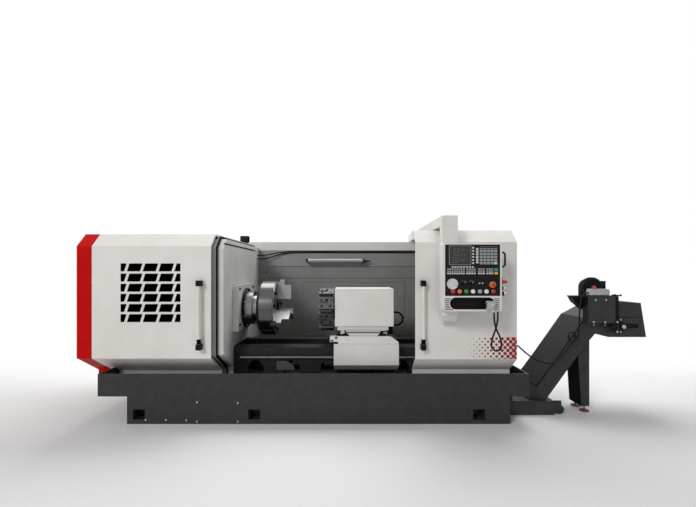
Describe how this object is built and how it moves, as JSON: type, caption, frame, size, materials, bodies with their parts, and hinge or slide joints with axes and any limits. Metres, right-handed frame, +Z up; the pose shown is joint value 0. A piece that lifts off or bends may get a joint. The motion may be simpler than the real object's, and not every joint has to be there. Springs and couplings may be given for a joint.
{
  "type": "cnc turning lathe",
  "caption": "Flat-bed CNC turning lathe with sliding-door enclosure, jaw chuck, indexing turret, swivelling control box and chip conveyor.",
  "frame": {"origin": "On the floor at the pedestal's middle, straight under the spindle axis.", "axes": "+X along the spindle towards the chip conveyor, +Y to the rear, +Z up."},
  "size_m": [5.926, 2.142, 2.06],
  "materials": {
    "pedestal": "satin grey-black paint",
    "chip_pan": "satin grey-black paint",
    "bed": "painted casting with ground ways",
    "headstock": "light grey paint on a casting",
    "spindle_bearings": "ground bearing rings",
    "spindle_nose_cover": "black paint",
    "main_motor": "blue-grey paint",
    "drive_belt": "ribbed black rubber",
    "headstock_guard": "light grey paint",
    "end_cap": "glossy red paint",
    "rear_guard": "satin grey paint",
    "rear_rail": "white paint",
    "work_lamp": "clear tube lamp",
    "rear_cables": "black cable sheath",
    "axis_drive": "black servo motor",
    "pendant_arm": "white paint",
    "conveyor_casing": "dark grey paint",
    "conveyor_lid": "dark grey paint",
    "conveyor_tank": "dark grey paint",
    "conveyor_leg": "dark grey paint",
    "conveyor_gearmotor": "dark grey painted motor",
    "chain_guard": "black paint",
    "conveyor_belt": "hinged steel plates",
    "conveyor_cable": "black corrugated conduit",
    "conveyor_shaft": "turned steel",
    "spindle": "ground steel",
    "chuck_body": "dark turned steel",
    "jaw_1": "hardened steel",
    "jaw_2": "hardened steel",
    "jaw_3": "hardened steel",
    "motor_pulley": "machined pulley",
    "left_door": "white paint",
    "left_door_handle": "white tube",
    "left_door_seal": "black rubber seal",
    "left_door_brackets": "black brackets",
    "right_door": "white paint",
    "right_door_handle": "white tube",
    "right_door_brackets": "black brackets",
    "carriage": "painted casting with ground dovetail",
    "apron_cover": "white paint",
    "cross_slide_cover": "white paint",
    "cross_slide": "ground casting",
    "turret_housing": "white paint",
    "turret_hose": "black hose",
    "turret_disc": "dark ground steel",
    "tailstock": "light grey paint on a casting",
    "quill": "ground steel",
    "ball_screw": "rolled ball screw",
    "pendant_column": "white paint",
    "control_box": "white paint",
    "control_panel": "black panel with coloured keys",
    "pulse_unit": "black plastic",
    "pulse_cable": "black cable sheath",
    "handwheel": "light grey knob",
    "estop_button": "red mushroom cap",
    "selector_1": "black knob",
    "selector_2": "black knob",
    "red_button": "red cap",
    "green_button": "green cap",
    "key_switch": "polished barrel"
  },
  "bodies": {
    "machine": {"pedestal": "pedestal", "chip_pan": "chip_pan", "bed": "bed", "headstock": "headstock", "spindle_bearings": "spindle_bearings", "spindle_nose_cover": "spindle_nose_cover", "main_motor": "main_motor", "drive_belt": "drive_belt", "headstock_guard": "headstock_guard", "end_cap": "end_cap", "rear_guard": "rear_guard", "rear_rail": "rear_rail", "work_lamp": "work_lamp", "rear_cables": "rear_cables", "left_door_seal": "left_door_seal", "axis_drive": "axis_drive", "pendant_arm": "pendant_arm", "conveyor_casing": "conveyor_casing", "conveyor_lid": "conveyor_lid", "conveyor_tank": "conveyor_tank", "conveyor_leg": "conveyor_leg", "conveyor_gearmotor": "conveyor_gearmotor", "chain_guard": "chain_guard", "conveyor_belt": "conveyor_belt", "conveyor_cable": "conveyor_cable"},
    "conveyor_drive": {"conveyor_shaft": "conveyor_shaft"},
    "spindle_unit": {"spindle": "spindle", "chuck_body": "chuck_body"},
    "jaw_unit_1": {"jaw_1": "jaw_1"},
    "jaw_unit_2": {"jaw_2": "jaw_2"},
    "jaw_unit_3": {"jaw_3": "jaw_3"},
    "motor_rotor": {"motor_pulley": "motor_pulley"},
    "left_door_unit": {"left_door": "left_door", "left_door_handle": "left_door_handle", "left_door_brackets": "left_door_brackets"},
    "right_door_unit": {"right_door": "right_door", "right_door_handle": "right_door_handle", "right_door_brackets": "right_door_brackets"},
    "saddle": {"carriage": "carriage", "apron_cover": "apron_cover", "cross_slide_cover": "cross_slide_cover"},
    "turret_slide": {"cross_slide": "cross_slide", "turret_housing": "turret_housing", "turret_hose": "turret_hose"},
    "turret_head": {"turret_disc": "turret_disc"},
    "tailstock_unit": {"tailstock": "tailstock"},
    "quill_unit": {"quill": "quill"},
    "screw_unit": {"ball_screw": "ball_screw"},
    "pendant": {"pendant_column": "pendant_column", "control_box": "control_box", "control_panel": "control_panel", "pulse_unit": "pulse_unit", "pulse_cable": "pulse_cable"},
    "handwheel_unit": {"handwheel": "handwheel"},
    "estop_unit": {"estop_button": "estop_button"},
    "selector_unit_1": {"selector_1": "selector_1"},
    "selector_unit_2": {"selector_2": "selector_2"},
    "red_button_unit": {"red_button": "red_button"},
    "green_button_unit": {"green_button": "green_button"},
    "key_unit": {"key_switch": "key_switch"}
  },
  "joints": [
    {"name": "spindle_spin", "type": "hinge", "parent": "machine", "child": "spindle_unit", "pos_m": [-1.4, 0, 1.1], "axis": [1, 0, 0], "continuous": true},
    {"name": "motor_spin", "type": "hinge", "parent": "machine", "child": "motor_rotor", "pos_m": [-2, 0.6, 0.64], "axis": [1, 0, 0], "continuous": true},
    {"name": "jaw_1_slide", "type": "slide", "parent": "spindle_unit", "child": "jaw_unit_1", "axis": [0, 0, 1], "range_m": [-0.06, 0.04]},
    {"name": "jaw_2_slide", "type": "slide", "parent": "spindle_unit", "child": "jaw_unit_2", "axis": [0, -0.866, -0.5], "range_m": [-0.06, 0.04]},
    {"name": "jaw_3_slide", "type": "slide", "parent": "spindle_unit", "child": "jaw_unit_3", "axis": [0, 0.866, -0.5], "range_m": [-0.06, 0.04]},
    {"name": "left_door_slide", "type": "slide", "parent": "machine", "child": "left_door_unit", "axis": [1, 0, 0], "range_m": [0, 1.02]},
    {"name": "right_door_slide", "type": "slide", "parent": "machine", "child": "right_door_unit", "axis": [-1, 0, 0], "range_m": [0, 1.02]},
    {"name": "carriage_slide", "type": "slide", "parent": "machine", "child": "saddle", "axis": [1, 0, 0], "range_m": [-0.32, 0.25]},
    {"name": "cross_slide_slide", "type": "slide", "parent": "saddle", "child": "turret_slide", "axis": [0, 1, 0], "range_m": [-0.2, 0.05]},
    {"name": "turret_index", "type": "hinge", "parent": "turret_slide", "child": "turret_head", "pos_m": [0.06, -0.2, 1.1], "axis": [1, 0, 0], "continuous": true},
    {"name": "screw_spin", "type": "hinge", "parent": "machine", "child": "screw_unit", "pos_m": [0.4, -0.14, 0.665], "axis": [1, 0, 0], "continuous": true},
    {"name": "tailstock_slide", "type": "slide", "parent": "machine", "child": "tailstock_unit", "axis": [1, 0, 0], "range_m": [-0.2, 0.03]},
    {"name": "quill_slide", "type": "slide", "parent": "tailstock_unit", "child": "quill_unit", "axis": [-1, 0, 0], "range_m": [0, 0.15]},
    {"name": "pendant_swivel", "type": "hinge", "parent": "machine", "child": "pendant", "pos_m": [1.268, -0.81, 1.98], "axis": [0, 0, 1], "range_deg": [-70, 0]},
    {"name": "handwheel_spin", "type": "hinge", "parent": "pendant", "child": "handwheel_unit", "pos_m": [1.246, -1.006, 1.411], "axis": [0, 1, 0], "continuous": true},
    {"name": "estop_press", "type": "slide", "parent": "pendant", "child": "estop_unit", "axis": [0, 1, 0], "range_m": [0, 0.004]},
    {"name": "selector_1_turn", "type": "hinge", "parent": "pendant", "child": "selector_unit_1", "pos_m": [1.356, -1.006, 1.416], "axis": [0, 1, 0], "range_deg": [-60, 60]},
    {"name": "selector_2_turn", "type": "hinge", "parent": "pendant", "child": "selector_unit_2", "pos_m": [1.426, -1.006, 1.416], "axis": [0, 1, 0], "range_deg": [-60, 60]},
    {"name": "red_button_press", "type": "slide", "parent": "pendant", "child": "red_button_unit", "axis": [0, 1, 0], "range_m": [0, 0.004], "stiffness_N_per_m": 300},
    {"name": "green_button_press", "type": "slide", "parent": "pendant", "child": "green_button_unit", "axis": [0, 1, 0], "range_m": [0, 0.004], "stiffness_N_per_m": 300},
    {"name": "key_turn", "type": "hinge", "parent": "pendant", "child": "key_unit", "pos_m": [1.4956, -1.006, 1.3425], "axis": [0, 1, 0], "range_deg": [0, 90]},
    {"name": "conveyor_shaft_spin", "type": "hinge", "parent": "machine", "child": "conveyor_drive", "pos_m": [3.232, -0.16, 0.936], "axis": [0, 1, 0], "continuous": true}
  ],
  "couplings": [
    {"joint": "motor_spin", "follows": "spindle_spin", "ratio": 2},
    {"joint": "jaw_2_slide", "follows": "jaw_1_slide", "ratio": 1},
    {"joint": "jaw_3_slide", "follows": "jaw_1_slide", "ratio": 1},
    {"joint": "screw_spin", "follows": "carriage_slide", "rad_per_m": -523.6}
  ]
}
